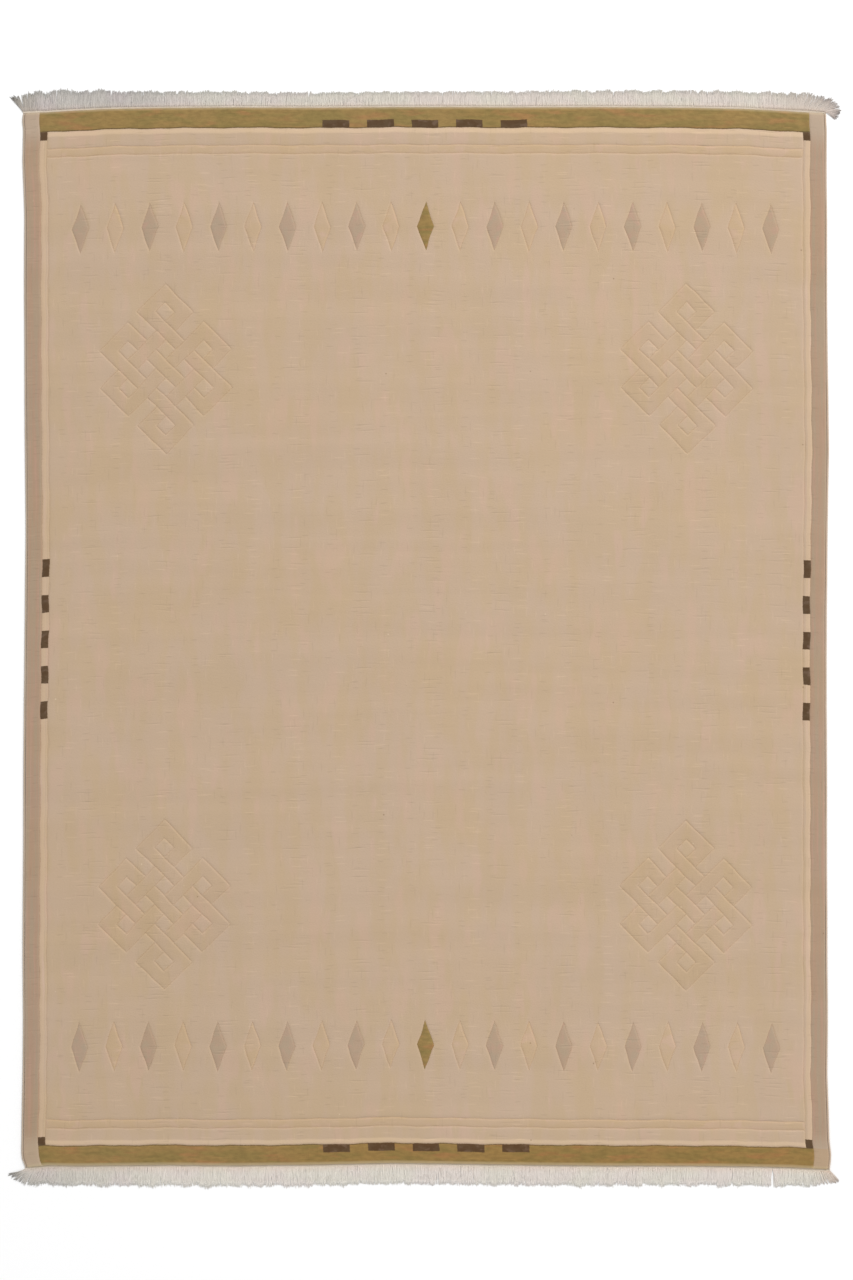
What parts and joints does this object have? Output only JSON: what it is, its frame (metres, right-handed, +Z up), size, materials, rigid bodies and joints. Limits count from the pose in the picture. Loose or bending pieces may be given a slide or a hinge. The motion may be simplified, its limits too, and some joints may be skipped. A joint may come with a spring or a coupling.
{
  "type": "nepalese rug",
  "caption": "Flat hand-knotted wool rug with a plain beige field, mauve side bands, olive end bands, carved lozenge rows and endless knots, and cotton fringe at both ends.",
  "frame": {"origin": "on the floor, under the middle of the whole rug's outline, fringes included", "axes": "+X across the rug to its right side as seen from above, +Y along the rug to its far end, the top of the picture, and +Z up through the pile"},
  "size_m": [2.7726, 3.6886, 0.012],
  "materials": {
    "wool_pile": "cut wool pile, matt, beige with mauve and olive bands",
    "wool_overcast": "wool yarn wound over the side cord, matt, grey beige",
    "cotton_warp": "undyed cotton yarn, matt, off-white"
  },
  "bodies": {
    "root": {"rug_pile": "wool_pile", "selvedge_left": "wool_overcast", "selvedge_right": "wool_overcast", "fringe_far": "cotton_warp", "fringe_near": "cotton_warp"}
  },
  "joints": []
}
